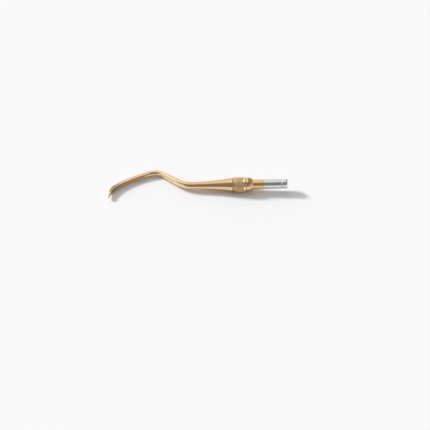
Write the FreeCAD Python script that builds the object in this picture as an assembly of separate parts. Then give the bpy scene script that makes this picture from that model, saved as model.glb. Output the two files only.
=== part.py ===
import FreeCAD, Part
import math
import os

# A dental elevator tip that plugs into a handle: a bent gouge blade on a tapered neck, a hub
# of four turned rings, and a tang. Millimetres. The tang's axis is X and its free end points
# to +X. The origin is on that axis, at the hub's rear shoulder. The shank and the blade bend
# in the plane Z = 0: out to +Y at the knee, and back to -Y at the cutting edge.

V = FreeCAD.Vector

# ---- Driving dimensions ----------------------------------------------------------------

# Tang: a bare steel pin with a stem that runs forward through everything else
tang_radius = 2.0
bare_tang_length = 9.9
tang_sleeve_length = 4.5
tang_end_round_length = 0.9
tang_end_face_radius = 1.3
catch_groove_from_end = 2.3
catch_groove_width = 0.4
catch_groove_depth = 0.15
stem_radius = 1.3
stem_flat_height = 1.0
stem_grip_in_neck = 4.5
stem_lead_chamfer = 0.2

# Hub: four rings threaded on the stem, listed from the rear shoulder forward
hub_radius = 3.08
seat_ring_length = 2.85
seat_ring_step = 0.1
seat_ring_groove_width = 0.2
seat_ring_groove_depth = 0.3
seat_ring_crown = 0.1
seat_nose_length = 1.6
seat_nose_end_radius = 2.15
seat_nose_bulge = 0.1
polished_ring_length = 0.95
polished_ring_bevel = 0.12
grip_collar_length = 3.2
grip_margin = 0.2
flute_count = 32
flute_depth = 0.17
flute_angle = 90.0
front_ring_length = 0.75
front_ring_step = 0.05
front_ring_bevel = 0.08

# Neck: a hollow-sided cone, with a narrow undercut against the front ring
undercut_length = 0.5
undercut_radius = 2.68
cone_length = 16.5
cone_large_radius = 2.97
cone_small_radius = 1.53
cone_hollow = 0.26
cone_edge_bevel = 0.12

# Shank and blade: a round bar bent in four places
rise_bend_radius = 10.0
rise_bend_angle = 39.4
rise_length = 8.3
bar_radius = 1.29
knee_bend_radius = 4.45
knee_bend_angle = 57.5
blade_sweep_radius = 38.0
blade_sweep_angle = 27.0
hook_bend_radius = 4.3
hook_bend_angle = 41.0
tip_length = 3.4

# Grinding: flats on both edges of the blade that close in towards a rounded end, and a
# hollow along the inner face
blade_half_width = 1.0
tip_half_width = 0.66
tip_taper_length = 10.0
tip_round_radius = 0.85
flat_start_from_knee = 1.6
flat_run_out_radius = 2.0
hollow_wheel_radius = 2.2
hollow_start_from_knee = 3.0
hollow_start_depth = 0.1
hollow_entry_angle = 5.0
edge_wedge_angle = 9.0
edge_thickness = 0.12

# Fits
braze_gap = 0.02
stem_end_gap = 0.15
tool_overrun = 1.0

# ---- Places along the tang's axis ------------------------------------------------------

tang_shoulder_x = tang_sleeve_length
tang_end_x = tang_shoulder_x + bare_tang_length
seat_front_x = -seat_ring_length
polished_front_x = seat_front_x - polished_ring_length
grip_front_x = polished_front_x - grip_collar_length
neck_rear_x = grip_front_x - front_ring_length
cone_large_x = neck_rear_x - undercut_length
cone_small_x = cone_large_x - cone_length
stem_front_x = neck_rear_x - stem_grip_in_neck
bore_radius = stem_radius + braze_gap


# ---- Helpers ---------------------------------------------------------------------------

def turned(points):
    """A solid turned about the X axis. Each point is (x, radius), and a point given as
    ("arc", x, radius) is the middle of an arc between its two neighbours."""
    edges = []
    here = V(points[0][0], points[0][1], 0)
    middle = None
    for point in points[1:] + points[:1]:
        if point[0] == "arc":
            middle = V(point[1], point[2], 0)
            continue
        there = V(point[0], point[1], 0)
        if middle is None:
            edges.append(Part.LineSegment(here, there).toShape())
        else:
            edges.append(Part.Arc(here, middle, there).toShape())
        here = there
        middle = None
    outline = Part.Face(Part.Wire(edges))
    return outline.revolve(V(0, 0, 0), V(1, 0, 0), 360)


def direction(heading):
    return V(math.cos(math.radians(heading)), math.sin(math.radians(heading)), 0)


def left_of(heading):
    return direction(heading + 90)


def disc(centre, heading, radius):
    return Part.Face(Part.Wire(Part.makeCircle(radius, centre, direction(heading))))


def straight_bar(start, heading, length, radius, end_radius=None):
    """A round bar, or a cone if it has an end radius. Returns it and where it ends."""
    end = start + direction(heading) * length
    if end_radius is None:
        return Part.makeCylinder(radius, length, start, direction(heading)), end
    return Part.makeCone(radius, end_radius, length, start, direction(heading)), end


def bent_bar(start, heading, radius, bend_radius, turn):
    """A round bar bent through turn degrees, to the left if turn is positive. Returns it,
    where it ends and its heading there."""
    side = math.copysign(1, turn)
    centre = start + left_of(heading) * (side * bend_radius)
    bar = disc(start, heading, radius).revolve(centre, V(0, 0, side), abs(turn))
    end = centre - left_of(heading + turn) * (side * bend_radius)
    return bar, end, heading + turn


def turn_towards(start, heading, end):
    """The turn and the radius of the arc that leaves start along heading and reaches end."""
    chord = end - start
    off_line = math.asin(direction(heading).cross(chord).z / chord.Length)
    return math.degrees(2 * off_line), chord.Length / (2 * abs(math.sin(off_line)))


# ---- The shank and blade's bar, from the cone's small end to the cutting edge -----------

def bar_from_cone():
    """The bent bar before grinding, with the knee's end and the tip's end as places."""
    forward = 180.0
    start = V(cone_small_x, 0, 0)
    rise_bend, at, heading = bent_bar(
        start, forward, cone_small_radius, rise_bend_radius, -rise_bend_angle)
    rise, at = straight_bar(at, heading, rise_length, cone_small_radius, bar_radius)
    knee, knee_end, knee_heading = bent_bar(
        at, heading, bar_radius, knee_bend_radius, knee_bend_angle)
    sweep, at, heading = bent_bar(
        knee_end, knee_heading, bar_radius, blade_sweep_radius, blade_sweep_angle)
    hook, at, heading = bent_bar(at, heading, bar_radius, hook_bend_radius, hook_bend_angle)
    tip, tip_end = straight_bar(at, heading, tip_length, bar_radius)
    bar = rise_bend.multiFuse([rise, knee, sweep, hook, tip]).removeSplitter()
    return bar, (knee_end, knee_heading), (tip_end, heading)


def place_on_sweep(knee_end, knee_heading, distance):
    """The bar's centre and heading at a distance along the blade from the knee's end."""
    turn = math.degrees(distance / blade_sweep_radius)
    centre = knee_end + left_of(knee_heading) * blade_sweep_radius
    heading = knee_heading + turn
    return centre - left_of(heading) * blade_sweep_radius, heading


def edge_flats(knee):
    """Two cutters that grind the blade's upper and lower edges flat. Each runs out in an
    arc, the grinding wheel's, just past the knee."""
    start, _ = place_on_sweep(knee[0], knee[1], flat_start_from_knee)
    step = bar_radius - blade_half_width
    run_out = math.sqrt(flat_run_out_radius ** 2 - (flat_run_out_radius - step) ** 2)
    middle_x = start.x + run_out / 2
    middle_rise = flat_run_out_radius - math.sqrt(
        flat_run_out_radius ** 2 - (run_out / 2) ** 2)
    far_x = start.x - blade_sweep_radius
    near_y = -blade_sweep_radius
    flat_z = blade_half_width
    top_z = bar_radius + tool_overrun
    corner = V(far_x, near_y, flat_z)
    flat_end = V(start.x, near_y, flat_z)
    arc_middle = V(middle_x, near_y, flat_z + middle_rise)
    arc_end = V(start.x + run_out, near_y, bar_radius)
    outline = Part.Wire([
        Part.LineSegment(corner, flat_end).toShape(),
        Part.Arc(flat_end, arc_middle, arc_end).toShape(),
        Part.LineSegment(arc_end, V(arc_end.x, near_y, top_z)).toShape(),
        Part.LineSegment(V(arc_end.x, near_y, top_z), V(far_x, near_y, top_z)).toShape(),
        Part.LineSegment(V(far_x, near_y, top_z), corner).toShape(),
    ])
    upper = Part.Face(outline).extrude(V(0, 2 * blade_sweep_radius, 0))
    lower = upper.mirror(V(0, 0, 0), V(0, 0, 1))
    return [upper, lower]


def hollow_cutter(knee, tip):
    """The wheel's path along the blade's inner face. The floor of the hollow is two arcs
    that meet smoothly: they enter the bar after the knee and leave the edge's thickness
    at the tip."""
    bar_place, bar_heading = place_on_sweep(knee[0], knee[1], hollow_start_from_knee)
    floor_depth = bar_radius - hollow_start_depth
    floor_start = bar_place + left_of(bar_heading) * floor_depth
    start_heading = bar_heading - hollow_entry_angle
    tip_end, tip_heading = tip
    floor_end = tip_end - left_of(tip_heading) * (bar_radius - edge_thickness)
    end_heading = tip_heading - edge_wedge_angle
    first = direction(start_heading)
    last = direction(end_heading)
    chord = floor_end - floor_start
    spread = 2 * (1 - first.dot(last))
    along = chord.dot(first + last)
    reach = (math.sqrt(along ** 2 + spread * chord.dot(chord)) - along) / spread
    meeting = (floor_start + first * reach + floor_end - last * reach) * 0.5
    turn_1, radius_1 = turn_towards(floor_start, start_heading, meeting)
    turn_2, radius_2 = turn_towards(meeting, start_heading + turn_1, floor_end)
    wheel = hollow_wheel_radius
    wheel_start = floor_start + left_of(start_heading) * wheel
    run_in = Part.makeSphere(wheel, wheel_start)
    long_pass, at, heading = bent_bar(
        wheel_start, start_heading, wheel, radius_1 - wheel, turn_1)
    short_pass, at, heading = bent_bar(at, heading, wheel, radius_2 - wheel, turn_2)
    run_off, _ = straight_bar(at, heading, tool_overrun, wheel)
    print("hollow floor radii", round(radius_1, 2), round(radius_2, 2))
    return [run_in, long_pass, short_pass, run_off]


def tip_tapers(tip):
    """Two cutters that close the flats in, over a stretch that ends at the tip. They slope
    along the line of the blade's last curve, halfway between the sweep and the tip."""
    tip_end, tip_heading = tip
    heading = tip_heading - hook_bend_angle / 2
    slope = math.degrees(math.atan((blade_half_width - tip_half_width) / tip_taper_length))
    width = 2 * blade_sweep_radius
    slab = Part.makeBox(2 * tip_taper_length, width, bar_radius)
    slab.translate(V(0, -width / 2, 0))
    slab.rotate(V(0, 0, 0), V(0, 1, 0), slope)
    slab.rotate(V(0, 0, 0), V(0, 0, 1), heading)
    slab.translate(tip_end - direction(heading) * tip_taper_length + V(0, 0, blade_half_width))
    return [slab, slab.mirror(V(0, 0, 0), V(0, 0, 1))]


def tip_rounding(tip):
    """A cutter that rounds the blade's end, seen square to its inner face."""
    tip_end, tip_heading = tip
    forward = direction(tip_heading)
    across = left_of(tip_heading) * (2 * bar_radius)
    centre = tip_end - forward * tip_round_radius
    beyond = tip_end + forward * tool_overrun
    sheet = Part.Face(Part.makePolygon([
        centre - across, centre + across, beyond + across, beyond - across,
        centre - across]))
    height = V(0, 0, 2 * bar_radius)
    sheet.translate(height * -0.5)
    kept = Part.makeCylinder(
        tip_round_radius, 2 * across.Length, centre - across, across)
    return sheet.extrude(height).cut(kept)


# ---- The stem and its bores -------------------------------------------------------------

def flatted_rod(rear_x, length, radius, flat_height):
    """A rod that runs forward from rear_x with one flat on top, which stops it turning."""
    rod = Part.makeCylinder(radius, length, V(rear_x, 0, 0), V(-1, 0, 0))
    above = Part.makeBox(length, 2 * radius, radius, V(rear_x - length, -radius, flat_height))
    return rod.cut(above)


def stem_bore(front_x, rear_x):
    length = rear_x - front_x
    return Part.makeCylinder(bore_radius, length, V(front_x, 0, 0), V(1, 0, 0))


# ---- Pieces ------------------------------------------------------------------------------

def working_end():
    """Cone, shank and blade in one piece of steel, with a flatted socket for the stem."""
    chord_middle_radius = (cone_large_radius + cone_small_radius) / 2
    middle_x = (cone_large_x + cone_small_x) / 2
    neck = turned([
        (neck_rear_x, 0),
        (neck_rear_x, undercut_radius),
        (cone_large_x, undercut_radius),
        (cone_large_x, cone_large_radius - cone_edge_bevel),
        (cone_large_x - cone_edge_bevel, cone_large_radius),
        ("arc", middle_x, chord_middle_radius - cone_hollow),
        (cone_small_x, cone_small_radius),
        (cone_small_x, 0),
    ])
    bar, knee, tip = bar_from_cone()
    steel = neck.fuse(bar).removeSplitter()
    grinding = edge_flats(knee) + tip_tapers(tip) + hollow_cutter(knee, tip)
    for cutter in grinding + [tip_rounding(tip)]:
        steel = steel.cut(cutter)
    socket = flatted_rod(
        neck_rear_x, stem_grip_in_neck + stem_end_gap, bore_radius,
        stem_flat_height + braze_gap)
    print("cutting edge at", tuple(round(value, 2) for value in tip[0]))
    return steel.cut(socket)


def front_ring():
    """Plain ring between the cone and the grip."""
    outer = hub_radius - front_ring_step
    ring = turned([
        (neck_rear_x, 0),
        (neck_rear_x, outer - front_ring_bevel),
        (neck_rear_x + front_ring_bevel, outer),
        (grip_front_x, outer),
        (grip_front_x, 0),
    ])
    return ring.cut(stem_bore(neck_rear_x, grip_front_x))


def grip_collar():
    """Straight-knurled collar: V flutes all round, between two plain chamfered margins."""
    collar = turned([
        (grip_front_x, 0),
        (grip_front_x, hub_radius - flute_depth),
        (grip_front_x + flute_depth, hub_radius),
        (polished_front_x - flute_depth, hub_radius),
        (polished_front_x, hub_radius - flute_depth),
        (polished_front_x, 0),
    ])
    half_opening = flute_depth * math.tan(math.radians(flute_angle / 2))
    rise = tool_overrun / flute_depth
    mouth = half_opening * (1 + rise)
    start_x = grip_front_x + grip_margin
    root = V(start_x, 0, hub_radius - flute_depth)
    left = V(start_x, -mouth, hub_radius + tool_overrun)
    right = V(start_x, mouth, hub_radius + tool_overrun)
    flute_length = grip_collar_length - 2 * grip_margin
    flute = Part.Face(Part.makePolygon([root, left, right, root])).extrude(V(flute_length, 0, 0))
    flutes = []
    for index in range(flute_count):
        turned_flute = flute.copy()
        turned_flute.rotate(V(0, 0, 0), V(1, 0, 0), index * 360 / flute_count)
        flutes.append(turned_flute)
    return collar.cut(flutes).cut(stem_bore(grip_front_x, polished_front_x))


def polished_ring():
    """Bright ring behind the grip, with both edges bevelled."""
    ring = turned([
        (polished_front_x, 0),
        (polished_front_x, hub_radius - polished_ring_bevel),
        (polished_front_x + polished_ring_bevel, hub_radius),
        (seat_front_x - polished_ring_bevel, hub_radius),
        (seat_front_x, hub_radius - polished_ring_bevel),
        (seat_front_x, 0),
    ])
    return ring.cut(stem_bore(polished_front_x, seat_front_x))


def seat_ring():
    """Rear ring: a groove, a crowned band and a rounded nose, whose end face is the
    shoulder that stops against the handle."""
    band_radius = hub_radius - seat_ring_step
    band_front_x = seat_front_x + seat_ring_groove_width
    band_rear_x = -seat_nose_length
    nose_middle_radius = (band_radius + seat_nose_end_radius) / 2 + seat_nose_bulge
    ring = turned([
        (seat_front_x, 0),
        (seat_front_x, band_radius - seat_ring_groove_depth),
        (band_front_x, band_radius - seat_ring_groove_depth),
        (band_front_x, band_radius - seat_ring_crown),
        ("arc", (band_front_x + band_rear_x) / 2, band_radius),
        (band_rear_x, band_radius - seat_ring_crown),
        ("arc", band_rear_x / 2, nose_middle_radius),
        (0, seat_nose_end_radius),
        (0, 0),
    ])
    return ring.cut(stem_bore(seat_front_x, 0))


def tang_sleeve():
    """Coated sleeve round the stem, as thick as the bare pin behind it."""
    sleeve = Part.makeCylinder(tang_radius, tang_sleeve_length, V(0, 0, 0), V(1, 0, 0))
    return sleeve.cut(stem_bore(0, tang_sleeve_length))


def tang_pin():
    """Bare steel pin with a catch groove and a rounded end, and the stem in front of it."""
    groove_rear_x = tang_end_x - catch_groove_from_end
    groove_middle_x = groove_rear_x - catch_groove_width / 2
    groove_front_x = groove_rear_x - catch_groove_width
    round_start_x = tang_end_x - tang_end_round_length
    end_drop = tang_radius - tang_end_face_radius
    diagonal = math.sqrt(0.5)
    pin = turned([
        (neck_rear_x, 0),
        (neck_rear_x, stem_radius),
        (tang_shoulder_x, stem_radius),
        (tang_shoulder_x, tang_radius),
        (groove_front_x, tang_radius),
        (groove_middle_x, tang_radius - catch_groove_depth),
        (groove_rear_x, tang_radius),
        (round_start_x, tang_radius),
        ("arc", round_start_x + tang_end_round_length * diagonal,
         tang_end_face_radius + end_drop * diagonal),
        (tang_end_x, tang_end_face_radius),
        (tang_end_x, 0),
    ])
    flatted = flatted_rod(neck_rear_x, stem_grip_in_neck, stem_radius, stem_flat_height)
    lead = turned([
        (stem_front_x, 0),
        (stem_front_x, stem_radius - stem_lead_chamfer),
        (stem_front_x + stem_lead_chamfer, stem_radius),
        (neck_rear_x, stem_radius),
        (neck_rear_x, 0),
    ])
    return pin.fuse(flatted.common(lead)).removeSplitter()


PIECES = {
    "working_end": working_end,
    "front_ring": front_ring,
    "grip_collar": grip_collar,
    "polished_ring": polished_ring,
    "seat_ring": seat_ring,
    "tang_sleeve": tang_sleeve,
    "tang_pin": tang_pin,
}

os.makedirs("parts", exist_ok=True)
for name, make in PIECES.items():
    piece = make()
    piece.exportStep("parts/" + name + ".step")
    box = piece.optimalBoundingBox()
    print(name, "solids", len(piece.Solids), "valid", piece.isValid(),
          "volume", round(piece.Volume, 2),
          "x", round(box.XMin, 2), round(box.XMax, 2),
          "y", round(box.YMin, 2), round(box.YMax, 2),
          "z", round(box.ZMin, 2), round(box.ZMax, 2))
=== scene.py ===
# %% [markdown]
# # The tip of a dental elevator
#
# A small steel tool lies on its side on a white table. It has a bent gouge blade, a long neck,
# a hub of turned rings with a knurled grip, and a tang that plugs into a handle. All of it is
# coated gold apart from the tang's bare end. The solids come in as a fixed frame, in metres,
# and everything here is built round them.

# %% Load the frame
import math

import bmesh
import bpy
from mathutils import Matrix, Vector


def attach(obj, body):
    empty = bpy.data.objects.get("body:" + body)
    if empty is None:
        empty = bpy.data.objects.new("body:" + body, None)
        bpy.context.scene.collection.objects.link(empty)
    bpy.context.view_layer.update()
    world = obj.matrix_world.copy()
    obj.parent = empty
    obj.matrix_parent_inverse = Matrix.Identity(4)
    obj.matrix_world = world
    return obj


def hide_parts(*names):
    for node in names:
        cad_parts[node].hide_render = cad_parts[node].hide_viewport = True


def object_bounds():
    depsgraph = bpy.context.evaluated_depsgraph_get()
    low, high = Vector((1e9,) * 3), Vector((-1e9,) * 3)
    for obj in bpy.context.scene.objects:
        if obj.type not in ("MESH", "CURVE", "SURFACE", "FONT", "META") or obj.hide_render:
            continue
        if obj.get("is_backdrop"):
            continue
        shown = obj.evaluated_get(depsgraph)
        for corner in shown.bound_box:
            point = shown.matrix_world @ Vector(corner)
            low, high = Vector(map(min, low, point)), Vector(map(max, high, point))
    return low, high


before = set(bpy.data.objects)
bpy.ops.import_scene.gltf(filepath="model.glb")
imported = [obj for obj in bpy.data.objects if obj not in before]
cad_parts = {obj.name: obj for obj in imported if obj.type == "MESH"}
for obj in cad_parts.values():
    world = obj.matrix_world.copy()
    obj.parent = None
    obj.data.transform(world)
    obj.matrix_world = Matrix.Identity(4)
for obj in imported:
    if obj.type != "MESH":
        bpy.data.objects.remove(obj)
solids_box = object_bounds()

MM = 0.001
print("nodes:", sorted(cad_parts))
print("box in mm:", [[round(value / MM, 2) for value in corner] for corner in solids_box])

# %% [markdown]
# ## How the tool lies
#
# A tool laid on a table comes to rest on three points. Here they are the underside of the
# hub, of the knee and of the blade. Each is the lowest point of its stretch once the table's
# slope is known, and the slope follows from the three points. So the search starts from a
# level table and is repeated until it settles. Turning the tool would be the other way, but
# the tool stays square to the frame's axes, and the table is the thing that is tilted, by
# about three degrees.

# %% Find the table's plane
hub_stretch = (-0.009, 0.0)
knee_stretch = (-0.047, -0.036)
blade_stretch = (-0.070, -0.048)
corners = [vertex.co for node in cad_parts.values() for vertex in node.data.vertices]
up = Vector((0, 0, 1))
rounds_to_settle = 12
for attempt in range(rounds_to_settle):
    supports = []
    for low_x, high_x in (hub_stretch, knee_stretch, blade_stretch):
        stretch = [corner for corner in corners if low_x <= corner.x <= high_x]
        supports.append(min(stretch, key=up.dot))
    hub_point, knee_point, blade_point = supports
    up = (knee_point - hub_point).cross(blade_point - hub_point).normalized()
    if up.z < 0:
        up.negate()
table_height = up.dot(hub_point)
table_x = (Vector((1, 0, 0)) - up * up.x).normalized()
table_y = up.cross(table_x)
print("supports in mm:", [tuple(round(value / MM, 2) for value in point) for point in supports])
print("table tilt in degrees:", round(math.degrees(up.angle(Vector((0, 0, 1)))), 2))

# %% [markdown]
# ## The camera
#
# The picture was taken from the side, looking down at 42 degrees, with a long lens that
# hardly narrows with distance. A camera that stands a metre away with a narrow angle gives
# the same view. It is turned by less than a degree to match the slope of the tang, and aimed
# so that the hub's shoulder falls on the same place in the picture.

# %% Place the camera
picture_width = 430
picture_span = 0.1772
shoulder_in_picture = (253.0, 184.3)
camera_elevation = math.radians(42)
camera_turn = math.radians(-0.82)
camera_distance = 1.0

right = table_x * math.cos(camera_turn) - table_y * math.sin(camera_turn)
ahead = table_x * math.sin(camera_turn) + table_y * math.cos(camera_turn)
back = up * math.sin(camera_elevation) - ahead * math.cos(camera_elevation)
upward = ahead * math.sin(camera_elevation) + up * math.cos(camera_elevation)
step = picture_span / picture_width
middle = picture_width / 2
aim = (right * (middle - shoulder_in_picture[0])
       + upward * (shoulder_in_picture[1] - middle)) * step
camera = bpy.data.objects.new("camera", bpy.data.cameras.new("camera"))
bpy.context.scene.collection.objects.link(camera)
bpy.context.scene.camera = camera
bpy.context.scene.view_settings.view_transform = "Standard"
camera.data.lens = camera.data.sensor_width * camera_distance / picture_span
camera.data.clip_start = 0.01
turn = Matrix((right, upward, back)).transposed().to_4x4()
camera.matrix_world = Matrix.Translation(aim + back * camera_distance) @ turn
print("lens in mm:", round(camera.data.lens, 1))

# %% [markdown]
# ## A hand for shader maths
#
# A material's pattern is a sum on numbers that change over the surface. Written out as nodes
# it takes a page, so a small class wraps a node's output and turns Python's own signs into
# Math nodes. Each sum makes a new node, so a long sum is a long chain, as it would be if it
# were wired by hand.

# %% Wrap a socket
class Wire:
    """A node's output that Python can do sums on. Each sum adds a Math node."""

    def __init__(self, sheet, socket):
        self.sheet = sheet
        self.socket = socket

    def sum_with(self, operation, first, second=None):
        numbers = {0: first} if second is None else {0: first, 1: second}
        return self.sheet.node("ShaderNodeMath", {"operation": operation}, numbers)

    def __add__(self, other):
        return self.sum_with("ADD", self, other)

    def __radd__(self, other):
        return self.sum_with("ADD", other, self)

    def __sub__(self, other):
        return self.sum_with("SUBTRACT", self, other)

    def __rsub__(self, other):
        return self.sum_with("SUBTRACT", other, self)

    def __mul__(self, other):
        return self.sum_with("MULTIPLY", self, other)

    def __rmul__(self, other):
        return self.sum_with("MULTIPLY", other, self)

    def __truediv__(self, other):
        return self.sum_with("DIVIDE", self, other)

    def __pow__(self, other):
        return self.sum_with("POWER", self, other)

    def size(self):
        """The number without its sign."""
        return self.sum_with("ABSOLUTE", self)

    def angle_over(self, other):
        """The angle of the point (other, self), seen from the origin."""
        return self.sum_with("ARCTAN2", self, other)

    def ramp(self, low, high):
        """0 below low and 1 above high, with a smooth rise between them."""
        settings = {"interpolation_type": "SMOOTHSTEP"}
        sockets = {"Value": self, "From Min": low, "From Max": high}
        return self.sheet.node("ShaderNodeMapRange", settings, sockets, "Result")


print("signs that make nodes: + - * / **")

# %% [markdown]
# ## A sheet of nodes
#
# A material, and the world as well, holds its nodes on a sheet. Every node comes from one
# method, `node`, that sets the node's settings first and then its sockets, because some
# settings change which sockets a node has. The other methods are the few nodes that every
# finish here needs: a place, its three numbers, a noise and a blend of two colours.

# %% Build a sheet
class Sheet:
    """A material's, or the world's, node sheet."""

    def __init__(self, owner):
        owner.use_nodes = True
        self.tree = owner.node_tree
        self.tree.nodes.clear()

    def node(self, kind, settings=None, sockets=None, output=0):
        made = self.tree.nodes.new(kind)
        for name, value in (settings or {}).items():
            setattr(made, name, value)
        for name, value in (sockets or {}).items():
            if isinstance(value, Wire):
                self.tree.links.new(value.socket, made.inputs[name])
            else:
                made.inputs[name].default_value = value
        return Wire(self, made.outputs[output]) if made.outputs else made

    def position(self):
        """The place on the object, in metres."""
        return self.node("ShaderNodeTexCoord", output="Object")

    def split(self, vector):
        """The three numbers of a vector."""
        separate = self.node("ShaderNodeSeparateXYZ", sockets={"Vector": vector})
        return [Wire(self, socket) for socket in separate.socket.node.outputs]

    def noise(self, vector, scale, detail=3.0, roughness=0.55):
        sockets = {"Vector": vector, "Scale": scale, "Detail": detail, "Roughness": roughness}
        return self.node("ShaderNodeTexNoise", {}, sockets, "Fac")

    def stretched(self, vector, scale):
        """The place, scaled by itself along each axis, so that noise draws out into lines."""
        return self.node("ShaderNodeMapping", {}, {"Vector": vector, "Scale": scale})

    def blend(self, share, first, second):
        """A colour between two colours. The Mix node has its colours in sockets 6 and 7."""
        sockets = {0: share, 6: first, 7: second}
        return self.node("ShaderNodeMix", {"data_type": "RGBA"}, sockets, 2)


print("ways to make a node:", [name for name in vars(Sheet) if not name.startswith("_")])

# %% [markdown]
# ## The room
#
# Polished metal shows the room more than itself. The picture tells what stood round the tool.
# The tops of the round parts are bright, from light overhead and behind, with a stronger
# panel high on the left. Below comes a dark band, from the unlit side of the room where the
# camera stood, and then a bright strip, the white table in front. On the rising shank the dark
# band is thinner, because a pale wall low on the left shows under it. The nose of the hub
# is dull above, because the right side of the room is unlit, and lighter below. Boxes and
# cards round the tool could give the same reflections, but each would throw its own shadow.
# The world's colour, chosen by direction, throws none. A low sun with a wide disc, left
# and a little behind, casts the long soft shadow.

# %% Light the room
world = bpy.data.worlds.new("studio")
bpy.context.scene.world = world
sheet = Sheet(world)
heading = sheet.node("ShaderNodeTexCoord", output="Generated")


def share_towards(direction):
    """How far the heading points in a direction, from -1 to 1."""
    settings = {"operation": "DOT_PRODUCT"}
    return sheet.node("ShaderNodeVectorMath", settings, {0: heading, 1: direction}, "Value")


towards_camera = share_towards(-ahead)
towards_right = share_towards(right)
height = share_towards(up)
leftward = (towards_right * -1.0).ramp(0.0, 1.0)
low = 1 - height.ramp(0.38, 0.52)
overhead = 1 - (towards_camera + leftward * 0.3).ramp(0.06, 0.4)
overhead = overhead * (1 - towards_right.ramp(0.06, 0.24) * 0.88)
left_wall = (towards_right * -1.0).ramp(0.5, 0.7) * low
front_right = towards_right.ramp(0.3, 0.55) * (1 - height.ramp(0.4, 0.65)) * 0.55
bright = 1 - (1 - overhead) * (1 - left_wall) * (1 - front_right)
panel = (towards_right * -1.0).ramp(0.2, 0.4) * height.ramp(0.55, 0.7)
colour = sheet.blend(bright, (0.245, 0.242, 0.236, 1), (0.88, 0.88, 0.89, 1))
background = sheet.node("ShaderNodeBackground", {},
                        {"Color": colour, "Strength": 1.0 + panel * 0.3 + left_wall * 0.2})
sheet.node("ShaderNodeOutputWorld", {}, {"Surface": background})

lamp_travel = (right * 1.50 - ahead * 0.68 - up).normalized()
lamp = bpy.data.objects.new("lamp", bpy.data.lights.new("lamp", "SUN"))
bpy.context.scene.collection.objects.link(lamp)
lamp.data.angle = math.radians(11)
lamp.data.energy = 2.80
lamp.data.color = (0.985, 0.99, 0.985)
lamp.matrix_world = lamp_travel.to_track_quat("-Z", "Y").to_matrix().to_4x4()
print("lamp elevation:", round(math.degrees(math.asin(-lamp_travel.dot(up))), 1))

# %% [markdown]
# ## The table
#
# A plain pale sheet. It is a flat plane in the table's own axes, just under the three points
# that the tool rests on, and wide enough to fill the picture and every reflection.

# %% Lay the table
table_half_width = 1.5
table_gap = 0.00001
mesh = bmesh.new()
bmesh.ops.create_grid(mesh, x_segments=1, y_segments=1, size=table_half_width)
tilt = Matrix((table_x, table_y, up)).transposed().to_4x4()
bmesh.ops.transform(mesh, verts=mesh.verts,
                    matrix=Matrix.Translation(up * (table_height - table_gap)) @ tilt)
table = bpy.data.objects.new("table", bpy.data.meshes.new("table"))
mesh.to_mesh(table.data)
mesh.free()
bpy.context.scene.collection.objects.link(table)
table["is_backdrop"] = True
paper = bpy.data.materials.new("white_table")
sheet = Sheet(paper)
mottle = sheet.noise(sheet.position(), 900.0, 4.0)
colour = sheet.blend(mottle, (0.915, 0.915, 0.925, 1), (0.935, 0.935, 0.945, 1))
surface = sheet.node("ShaderNodeBsdfPrincipled", {},
                     {"Base Color": colour, "Roughness": 0.8, "Specular IOR Level": 0.2})
sheet.node("ShaderNodeOutputMaterial", {}, {"Surface": surface})
table.data.materials.append(paper)
print("table at", round(table_height / MM, 3), "mm")

# %% [markdown]
# ## Three helpers for the finishes
#
# Every finish here is bare metal, so each one ends in the same shader: a colour, a roughness
# and a height that bends the light. Only the numbers that feed it differ. A lathe leaves
# fine rings round the axis. They are a noise that changes quickly along the tool
# and hardly at all round it, which is what the Mapping node's unequal scale gives.

# %% End every finish the same way
def close_finish(sheet, colour, roughness, height, depth):
    """Join colour, roughness and height to a metal shader. The depth is in mm."""
    bump = sheet.node("ShaderNodeBump", {}, {"Strength": 1.0, "Distance": depth * MM,
                                             "Height": height})
    surface = sheet.node("ShaderNodeBsdfPrincipled", {},
                         {"Base Color": colour, "Metallic": 1.0, "Roughness": roughness,
                          "Normal": bump})
    sheet.node("ShaderNodeOutputMaterial", {}, {"Surface": surface})


def lathe_rings(sheet, place, per_mm):
    """Fine rings round the X axis, so many to a millimetre."""
    along = per_mm / MM
    return sheet.noise(sheet.stretched(place, (along, along * 0.012, along * 0.012)), 1.0, 2.0)


def distance_from_axis(sheet, place):
    """How far a place is from the X axis, in mm."""
    x, y, z = sheet.split(place)
    return (y * y + z * z) ** 0.5 / MM


polished_gold = (0.86, 0.60, 0.335, 1)
rose_gold = (0.82, 0.545, 0.31, 1)
pale_gold = (0.90, 0.67, 0.38, 1)
print("gold tones:", polished_gold[:3], rose_gold[:3], pale_gold[:3])
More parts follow.
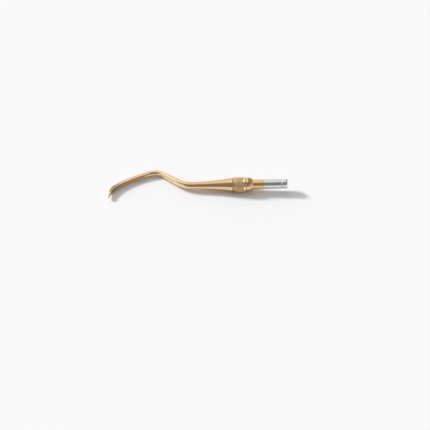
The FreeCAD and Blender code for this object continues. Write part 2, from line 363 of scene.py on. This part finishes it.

# %% [markdown]
# ## The finish of the working end
#
# One bar carries three surfaces. The neck and the shank were polished before they were coated,
# so they mirror the room, with faint turning rings and a slow drift of tone where the coat is
# a little thicker. The shank is painted the palest, a painted sheen for its brighter
# reflection. The blade's two flats and its hollow were ground last. They are satin, with fine
# lines across the blade. The hollow is painted dark, darkest towards its lower edge, as painted
# shade. Near the tip the satin is painted darker, as painted shade, with soft ribs as darker
# stripes where the wheel moved on in steps, and the last stretch of the tip is painted pale
# gold, a painted highlight. The narrow undercut beside the hub is dull and painted brown, as
# painted shade. Painting all this by hand would need a map. Here each surface is found by its
# place and by the way it faces.

# %% Finish the working end
working_finish = bpy.data.materials.new("coated_working_end")
sheet = Sheet(working_finish)
place = sheet.position()
facing = sheet.node("ShaderNodeTexCoord", output="Normal")
x, y, z = sheet.split(place)
x_mm, y_mm, z_mm = x / MM, y / MM, z / MM
facing_x, facing_y, facing_z = sheet.split(facing)
on_blade = 1 - x_mm.ramp(-45.2, -44.2)
flat = facing_z.size().ramp(0.93, 0.97)
inward = (facing_x * 0.75 - facing_y * 0.66).ramp(0.12, 0.3)
ground = on_blade * (1 - (1 - flat) * (1 - inward))
near_tip = 1 - x_mm.ramp(-58.0, -51.5)
blade_centre = Vector((-31.0, -26.6, 0))
blade_sweep_radius = 38.0
turn_along = (y_mm - blade_centre.y).angle_over(x_mm - blade_centre.x)
along_blade = turn_along * blade_sweep_radius
across = sheet.node("ShaderNodeCombineXYZ", {}, {"X": along_blade, "Y": z_mm * 0.15})
fine_lines = sheet.noise(across, 14.0, 2.0, 0.6)
coarse_lines = sheet.noise(across, 3.0, 2.0, 0.5)
ridges = sheet.noise(across, 1.7, 1.0, 0.4)
rings = lathe_rings(sheet, place, 9.0)
drift = sheet.noise(place, 230.0, 3.0)
smear = sheet.noise(place, 1400.0, 4.0)
undercut = x_mm.ramp(-8.6, -8.35)

tone = sheet.blend((drift - 0.35) * 1.6, polished_gold, rose_gold)
on_shank = x_mm.ramp(-43.0, -38.0) * (1 - x_mm.ramp(-30.0, -25.0))
# Painted sheen: the shank is painted a paler gold, for its brighter reflection.
shank_painted_sheen = (0.89, 0.69, 0.45, 1)
tone = sheet.blend(on_shank * 0.7, tone, shank_painted_sheen)
satin_gold = (0.80, 0.58, 0.32, 1)
satin = sheet.blend((coarse_lines - 0.3) * 1.4, pale_gold, satin_gold)
# Painted shade: the hollow is painted dark brown, darkest towards its lower edge.
hollow_shade_low, hollow_shade_high = (0.42, 0.235, 0.145, 1), (0.74, 0.47, 0.28, 1)
painted_hollow_shade = sheet.blend(z_mm.ramp(-0.9, 0.6), hollow_shade_low, hollow_shade_high)
satin = sheet.blend(inward, satin, painted_hollow_shade)
# Painted shade: near the tip the satin is painted darker, with the ribs as darker stripes.
ribs = ridges.ramp(0.35, 0.65)
tip_painted_shade = (0.36, 0.25, 0.15, 1)
satin = sheet.blend(near_tip * (0.55 + ribs * 0.4), satin, tip_painted_shade)
# Painted highlight: the last stretch of the tip is painted pale gold.
tip_highlight = 1 - y_mm.ramp(-4.8, -3.4)
painted_tip_highlight = (0.96, 0.78, 0.54, 1)
satin = sheet.blend(tip_highlight, satin, painted_tip_highlight)
colour = sheet.blend(ground, tone, satin)
# Painted shade: the undercut is painted brown.
undercut_painted_shade = (0.58, 0.41, 0.25, 1)
colour = sheet.blend(undercut, colour, undercut_painted_shade)
polished_roughness = 0.13 + (smear - 0.5) * 0.08 + (rings - 0.5) * 0.05
satin_roughness = 0.36 + (fine_lines - 0.5) * 0.16
roughness = polished_roughness * (1 - ground) + satin_roughness * ground + undercut * 0.4
height = rings * (1 - ground) * 0.12 + (fine_lines + coarse_lines * 1.6) * ground
close_finish(sheet, colour, roughness, height, 0.0035)
print("nodes in the working end's finish:", len(working_finish.node_tree.nodes))

# %% [markdown]
# ## The finishes of the rings
#
# The rings share the coat but not the polish. The band and the knurl are dull, to
# keep wet fingers from slipping. The ring behind them is the brightest thing on the
# tool. One function makes the band and the bright ring from a base roughness, a line
# spacing and how bright the coat is. A groove, painted dark as painted shade, and a worn edge
# are told by how far a place is from the axis, so the painted shade follows the shape by
# itself. The cells after this one finish the seat, the tang and the knurl, which each need one
# thing more.

# %% Finish the plain band and the bright ring
def ring_finish(name, gold, roughness, per_mm, depth, outer_radius, worn=0.5):
    """A turned and coated finish, painted darker in its grooves as painted shade, and paler on
    its worn outer edges.
    """
    material = bpy.data.materials.new(name)
    sheet = Sheet(material)
    place = sheet.position()
    radius = distance_from_axis(sheet, place)
    rings = lathe_rings(sheet, place, per_mm)
    drift = sheet.noise(place, 300.0, 3.0)
    smear = sheet.noise(place, 1800.0, 4.0)
    groove_shade = 1 - radius.ramp(outer_radius - 0.30, outer_radius - 0.16)
    crest = radius.ramp(outer_radius - 0.05, outer_radius - 0.005)
    tone = sheet.blend((drift - 0.35) * 1.4, gold, rose_gold)
    tone = sheet.blend(crest * smear.ramp(0.45, 0.62) * worn, tone, pale_gold)
    # Painted shade: the grooves and inner walls are painted nearly black-brown.
    tone = sheet.blend(groove_shade * 0.85, tone, (0.20, 0.13, 0.075, 1))
    rough = roughness + (rings - 0.5) * 0.10 + (smear - 0.5) * 0.08 + groove_shade * 0.25
    close_finish(sheet, tone, rough, rings, depth)
    return material


plain_band_radius = 3.03
hub_radius = 3.08
band_finish = ring_finish("coated_band", (0.58, 0.42, 0.26, 1), 0.50, 8.0, 0.0022,
                          plain_band_radius, worn=0.15)
polish_finish = ring_finish("coated_bright_ring", (0.98, 0.77, 0.49, 1), 0.20, 10.0, 0.0008,
                            hub_radius)
print("ring finishes:", band_finish.name, polish_finish.name)

# %% [markdown]
# The seat is lapped against the handle and has fine turning lines. Its nose slopes down to
# 2.15 mm, so its groove, painted darker as painted shade, can't be told by its radius there,
# and it is found by its place along the axis instead. The same function finishes the sleeve,
# which is painted darkest in the corner against the seat as painted shade, and the bare steel
# pin, which is dull in its catch groove and painted a little darker there as painted shade.

# %% Finish the seat, the sleeve and the pin
def tang_finish(name, gold, second, roughness, per_mm, depth, shade_from, shade_to, shade_colour):
    """A turned finish that is painted darker between two places along the axis, in mm, as
    painted shade in a groove or a corner.
    """
    material = bpy.data.materials.new(name)
    sheet = Sheet(material)
    place = sheet.position()
    x, y, z = sheet.split(place)
    rings = lathe_rings(sheet, place, per_mm)
    broad = lathe_rings(sheet, place, per_mm * 0.25)
    drift = sheet.noise(place, 320.0, 3.0)
    smear = sheet.noise(place, 1600.0, 4.0)
    soft = 0.03
    x_mm = x / MM
    shade_band = x_mm.ramp(shade_from - soft, shade_from + soft)
    shade_band = shade_band * (1 - x_mm.ramp(shade_to - soft, shade_to + soft))
    tone = sheet.blend((drift - 0.35) * 1.4, gold, second)
    # Painted shade: the groove or corner between the two places takes the shade colour.
    tone = sheet.blend(shade_band, tone, shade_colour)
    rough = roughness + (rings - 0.5) * 0.09 + (smear - 0.5) * 0.07 + shade_band * 0.45
    close_finish(sheet, tone, rough, rings + broad * 1.5, depth)
    return material


seat_finish = tang_finish("coated_seat", polished_gold, rose_gold, 0.17, 9.0, 0.0012,
                          -2.9, -2.66, (0.42, 0.30, 0.18, 1))
sleeve_finish = tang_finish("coated_sleeve", (0.93, 0.63, 0.29, 1), rose_gold, 0.20, 8.0,
                            0.0012, -1.0, 0.03, (0.25, 0.17, 0.10, 1))
steel_finish = tang_finish("bare_ground_steel", (0.80, 0.79, 0.77, 1), (0.72, 0.71, 0.69, 1),
                           0.17, 7.0, 0.0012, 11.7, 12.1, (0.66, 0.65, 0.63, 1))
print("tang finishes:", seat_finish.name, sleeve_finish.name, steel_finish.name)

# %% [markdown]
# The knurl is rolled and never polished, so it is the dullest ring of the hub. Its flute roots
# are painted dark brown, as painted shade, and its crests keep the gold. How far a place is
# from the axis tells the two apart, which follows every flute without a map. A fine grain in
# the roughness and in the height breaks up the light, as on a blasted surface.

# %% Finish the knurl
knurl_finish = bpy.data.materials.new("coated_knurl")
sheet = Sheet(knurl_finish)
place = sheet.position()
radius = distance_from_axis(sheet, place)
grain = sheet.noise(place, 9000.0, 3.0, 0.6)
drift = sheet.noise(place, 500.0, 3.0)
crest = radius.ramp(hub_radius - 0.13, hub_radius - 0.03)
worn_gold, darker_gold = (0.84, 0.59, 0.325, 1), (0.75, 0.51, 0.275, 1)
# Painted shade: the flute roots are painted dark brown.
root_painted_shade = (0.34, 0.23, 0.12, 1)
tone = sheet.blend((drift - 0.3) * 1.4, worn_gold, darker_gold)
tone = sheet.blend(crest, root_painted_shade, tone)
roughness = 0.68 - crest * 0.06 + (grain - 0.5) * 0.2
close_finish(sheet, tone, roughness, grain, 0.004)
print("knurl finish:", knurl_finish.name)

# %% [markdown]
# ## Turned rings
#
# The hub's rings come off a lathe. A bar spins, and the cutter's path becomes the outline.
# Blender's spin does the same: a few corners are drawn as a section, each corner is rounded
# by a vertex bevel, and the section is spun once round the tang's axis. A drawn cylinder
# would be quicker, but its edges would be knife sharp, and on polished metal it is
# the rounded edge that catches the light. Each ring is closed, with a bore for the stem.

# %% Turn a closed section round the axis
round_steps = 160
bore_radius = 1.34
merge_distance = 0.0005 * MM


def turned(corners, roundings, steps=round_steps):
    """Spin a section given by (x, radius) corners in mm. The roundings are in mm as well,
    one for each corner, or None where the corner stays sharp."""
    shape = bmesh.new()
    points = [shape.verts.new((x * MM, 0, radius * MM)) for x, radius in corners]
    for first, second in zip(points, points[1:] + points[:1]):
        shape.edges.new((first, second))
    for point, rounding in zip(points, roundings):
        if rounding:
            bmesh.ops.bevel(shape, geom=[point], offset=rounding * MM, affect="VERTICES",
                            segments=6, profile=0.5, material=-1)
    bmesh.ops.spin(shape, geom=shape.verts[:] + shape.edges[:], cent=(0, 0, 0),
                   axis=(1, 0, 0), angle=math.tau, steps=steps, use_merge=True,
                   use_duplicate=False)
    bmesh.ops.remove_doubles(shape, verts=shape.verts, dist=merge_distance)
    bmesh.ops.recalc_face_normals(shape, faces=shape.faces)
    return shape


print("steps in a full turn:", round_steps, "bore in mm:", bore_radius)

# %% [markdown]
# Every shape ends in the same way: it becomes an object that replaces one node of the solids,
# rides on the body and takes its finish. Smooth shading alone would smear light over the
# edges. So an edge of more than 35 degrees stays sharp, and weighted normals let the big
# faces decide, which keeps a flat wall flat right up to a small rounding.

# %% Stand a shape in for a node
sharp_from = 35


def finished(name, shape, node, material, given_normals=None):
    """Make the shape an object that stands for the node and takes the material. A function
    may give the normals of the mesh's corners. Otherwise they follow from its faces."""
    mesh = bpy.data.meshes.new(name)
    shape.to_mesh(mesh)
    shape.free()
    mesh.shade_smooth()
    piece = bpy.data.objects.new(name, mesh)
    bpy.context.scene.collection.objects.link(piece)
    if given_normals:
        mesh.normals_split_custom_set(given_normals(mesh))
    else:
        mesh.set_sharp_from_angle(angle=math.radians(sharp_from))
        even = piece.modifiers.new("even_normals", "WEIGHTED_NORMAL")
        even.keep_sharp = True
    mesh.materials.append(material)
    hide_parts(node)
    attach(piece, "root")
    sizes = [round(value / MM, 2) for value in piece.dimensions]
    print(name, "faces:", len(mesh.polygons), "size in mm:", sizes)
    return piece


print("edges stay sharp from", sharp_from, "degrees")

# %% [markdown]
# ## The working end
#
# The bent bar with its ground blade is right as a solid, so its mesh is the start, and not a
# new shape. Three small things are left to the scene. In the picture a sliver of lit table
# shows under the cutting edge, so the last stretch of the blade stands a third of a millimetre
# higher. The shank is a little slimmer than the bar on either side of it, as a rod is after
# its bends are polished out. The knee and the start of the blade are slimmer as well, by
# three tenths of a millimetre, and nearly all of it comes off the side that faces the camera.
# Sculpting this by hand would not be repeatable. Instead a copy of the mesh is merged, and
# each corner is moved by an amount that fades in and out smoothly along the tool, so that no
# step shows. On the round bar a corner's normal says which way is outwards. On the blade
# the normals jump at every ground edge, so there it is measured from the middle line of the
# bar, which is an arc.

# %% Tell which way is outwards
def eased(value, low, high):
    """0 below low and 1 above high, with a smooth rise between them."""
    share = min(max((value - low) / (high - low), 0.0), 1.0)
    return share * share * (3 - 2 * share)


middle_line_radius = 36.45
bar_radius = 1.29


def outwards(corner):
    """Which way is out of the bar, and how far out a corner lies, as a share of its radius."""
    x, y, z = corner.co / MM
    spoke = Vector((x, y, 0)) - blade_centre
    off_line = spoke.normalized() * (spoke.length - middle_line_radius)
    off_line.z = z
    return corner.normal.lerp(off_line / bar_radius, eased(-x, 42.6, 43.6))


print("radius of the blade's middle line in mm:", middle_line_radius)

# %% [markdown]
# Each window along the tool fades in and out. In the first two, the section shrinks about its
# middle line and shifts at the same time, across the bar as the camera sees it. So the upper
# outline stays where it is and the lower one comes up. The third lifts the tip. The faces
# are numbered before the merge, because it may change their order. The knee and the
# blade then stand a little above the table that was found from the solids, and the gaps
# are printed.

# %% Slim the shank and the knee, and lift the tip
tip_lift = 0.33
shank_slimming = 0.11
blade_slimming = 0.15
solid_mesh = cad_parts["working_end"].data
bar = bmesh.new()
bar.from_mesh(solid_mesh)
source = bar.faces.layers.int.new("source")
for number, face in enumerate(bar.faces):
    face[source] = number
bmesh.ops.remove_doubles(bar, verts=bar.verts, dist=merge_distance)
bar.normal_update()
across_shank = (upward * 0.88 + right * 0.47).normalized()
across_blade = (upward * 0.92 - right * 0.39).normalized()
moved = []
for corner in bar.verts:
    x = corner.co.x / MM
    on_shank = eased(x, -41.0, -36.5) * (1 - eased(x, -30.5, -25.5))
    on_blade = eased(-x, 37.0, 41.0) * (1 - eased(-x, 51.0, 56.0))
    step_off = (across_shank - corner.normal) * (shank_slimming * on_shank * MM)
    step_off += (across_blade * 1.3 - outwards(corner)) * (blade_slimming * on_blade * MM)
    step_off.z += tip_lift * MM * eased(-x, 51.0, 57.0)
    corner.co += step_off
    moved.append(step_off.length / MM)
for part, (low_x, high_x) in (("knee", knee_stretch), ("blade", blade_stretch)):
    lowest = min(up.dot(corner.co) for corner in bar.verts if low_x <= corner.co.x <= high_x)
    print("gap under the", part, "in mm:", round((lowest - table_height) / MM, 2))
print("corners:", len(moved), "largest move in mm:", round(max(moved), 2))

# %% [markdown]
# The ground flats run out into the round bar at a very small angle, where normals worked out
# from the faces would leave a ragged line. The small moves hardly turn any face, so
# every corner of every face keeps the normal that it has on the solid.

# %% Take over the solid's normals
def solid_normals(mesh):
    """The solid's own normals, found again through the number that each face kept."""
    normals = []
    for face, number in zip(mesh.polygons, mesh.attributes["source"].data):
        start = solid_mesh.polygons[number.value].loop_start
        for step_on in range(face.loop_total):
            normals.append(solid_mesh.corner_normals[start + step_on].vector.copy())
    return normals


blade = finished("blade_and_neck", bar, "working_end", working_finish,
                 solid_normals)
blade.data.attributes.remove(blade.data.attributes["source"])

# %% [markdown]
# ## The plain band and the bright ring
#
# Both are short rings with rounded edges. The bright ring is not a true cylinder: it is lapped
# with a soft cloth, which leaves it a hair higher in the middle. So its outer wall is
# two slopes that meet in a corner, and the corner is rounded until only an arc is left.

# %% Turn the plain band and the bright ring
neck_rear, grip_front, bright_front, seat_front = -7.75, -7.0, -3.8, -2.85
band = turned([(neck_rear, bore_radius), (neck_rear, plain_band_radius),
               (grip_front, plain_band_radius), (grip_front, bore_radius)],
              [None, 0.07, 0.05, None])
finished("plain_band", band, "front_ring", band_finish)

ring_middle = (bright_front + seat_front) / 2
bright = turned([(bright_front, bore_radius), (bright_front, hub_radius - 0.04),
                 (ring_middle, hub_radius + 0.012), (seat_front, hub_radius - 0.04),
                 (seat_front, bore_radius)],
                [None, 0.11, 0.33, 0.11, None])
finished("bright_ring", bright, "polished_ring", polish_finish)

# %% [markdown]
# ## The knurled collar
#
# A straight knurl is a row of V flutes rolled into the collar, between two plain margins. The
# collar is spun with five steps to each flute. Every fifth line of the mesh then becomes
# a flute's root: it is scaled towards the axis, and its neighbours stay out and form the
# walls. The crests get a small bevel, because a rolled knurl never has knife edges and each
# crest shows as a thin light line.

# %% Roll the knurl
flutes = 32
steps_in_flute = 5
margin = 0.2
flute_depth = 0.17
crest_rounding = 0.025
shortest_crest = 1.0
corners = [(grip_front, bore_radius), (grip_front, hub_radius),
           (grip_front + margin, hub_radius), (grip_front + margin + 0.03, hub_radius),
           (bright_front - margin - 0.03, hub_radius), (bright_front - margin, hub_radius),
           (bright_front, hub_radius), (bright_front, bore_radius)]
collar = turned(corners, [None, 0.1, None, None, None, None, 0.1, None],
                steps=flutes * steps_in_flute)
flute_angle = math.tau / flutes
first_root = math.pi / 2
roots = []
for corner in collar.verts:
    x, y, z = corner.co / MM
    turn_in_flutes = (math.atan2(z, y) - first_root) / flute_angle
    on_root = abs(turn_in_flutes - round(turn_in_flutes)) < 0.05
    inside = grip_front + margin + 0.01 < x < bright_front - margin - 0.01
    if on_root and inside and math.hypot(y, z) > hub_radius - 0.01:
        roots.append(corner)
shrink = (hub_radius - flute_depth) / hub_radius
bmesh.ops.scale(collar, verts=roots, vec=(1, shrink, shrink))
collar.normal_update()
crests = [edge for edge in collar.edges
          if len(edge.link_faces) == 2 and edge.calc_face_angle_signed() > math.radians(25)
          and min(math.hypot(end.co.y, end.co.z) for end in edge.verts)
          > (hub_radius - 0.01) * MM
          and abs(edge.verts[0].co.x - edge.verts[1].co.x) > shortest_crest * MM]
bmesh.ops.bevel(collar, geom=crests, offset=crest_rounding * MM, affect="EDGES", segments=2,
                profile=0.5, material=-1)
finished("knurled_collar", collar, "grip_collar", knurl_finish)
print("flute roots:", len(roots), "crest lines:", len(crests))

# %% [markdown]
# ## The seat ring
#
# Behind the bright ring lies a narrow groove, then a crowned band and a rounded nose that
# stops against the handle. The crown and the nose are each one corner with a rounding as
# long as its two sides, so each is a single clean arc.

# %% Turn the seat ring
band_front = seat_front + 0.2
band_rear = -1.6
band_radius = 2.98
crown = 0.1
crown_middle = (band_front + band_rear) / 2
groove_radius = band_radius - 0.3
nose_corner = (-0.66, 2.72)
nose_end_radius = 2.15
seat = turned([(seat_front, bore_radius), (seat_front, groove_radius),
               (band_front, groove_radius), (band_front, band_radius - crown),
               (crown_middle, band_radius + crown), (band_rear, band_radius - crown),
               nose_corner, (0, nose_end_radius), (0, bore_radius)],
              [None, None, None, 0.03, 0.5, 0.06, 0.7, 0.05, None])
finished("seat", seat, "seat_ring", seat_finish)

# %% [markdown]
# ## The tang
#
# The gold sleeve and the bare pin behind it are the same thickness, so only the colour and a
# hairline part them. The pin runs on inside, as a thinner stem, through all the
# rings into the neck. Near its free end is a shallow groove for the handle's catch, and
# the end is rounded to slip in easily.

# %% Turn the sleeve and the pin
tang_radius = 2.0
sleeve_rear = 4.5
sleeve = turned([(0, bore_radius), (0, tang_radius), (sleeve_rear, tang_radius),
                 (sleeve_rear, bore_radius)],
                [None, None, 0.03, None])
finished("gold_sleeve", sleeve, "tang_sleeve", sleeve_finish)

tang_end = 14.4
groove_rear = tang_end - 2.3
groove_width = 0.4
groove_depth = 0.15
stem_front = -12.25
stem_radius = 1.3
axis_gap = 0.0004
pin = turned([(stem_front, axis_gap), (stem_front, stem_radius), (sleeve_rear, stem_radius),
              (sleeve_rear, tang_radius), (groove_rear - groove_width, tang_radius),
              (groove_rear - groove_width / 2, tang_radius - groove_depth),
              (groove_rear, tang_radius),
              (tang_end, tang_radius), (tang_end, axis_gap)],
             [None, 0.2, None, 0.03, 0.03, 0.04, 0.03, 0.75, None])
finished("ground_pin", pin, "tang_pin", steel_finish)

# %% [markdown] ## The two boxes Both boxes are printed: the box of the solids, measured before anything was added,
# and the box of everything drawn, measured after.
# Everything drawn here has to stay inside the box of the solids.

# %% Finish
boxes = {"solids": [list(corner) for corner in solids_box],
         "visual": [list(corner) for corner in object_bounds()]}
for name, box in boxes.items():
    print(name, "box in mm:", [[round(value / MM, 2) for value in corner] for corner in box])
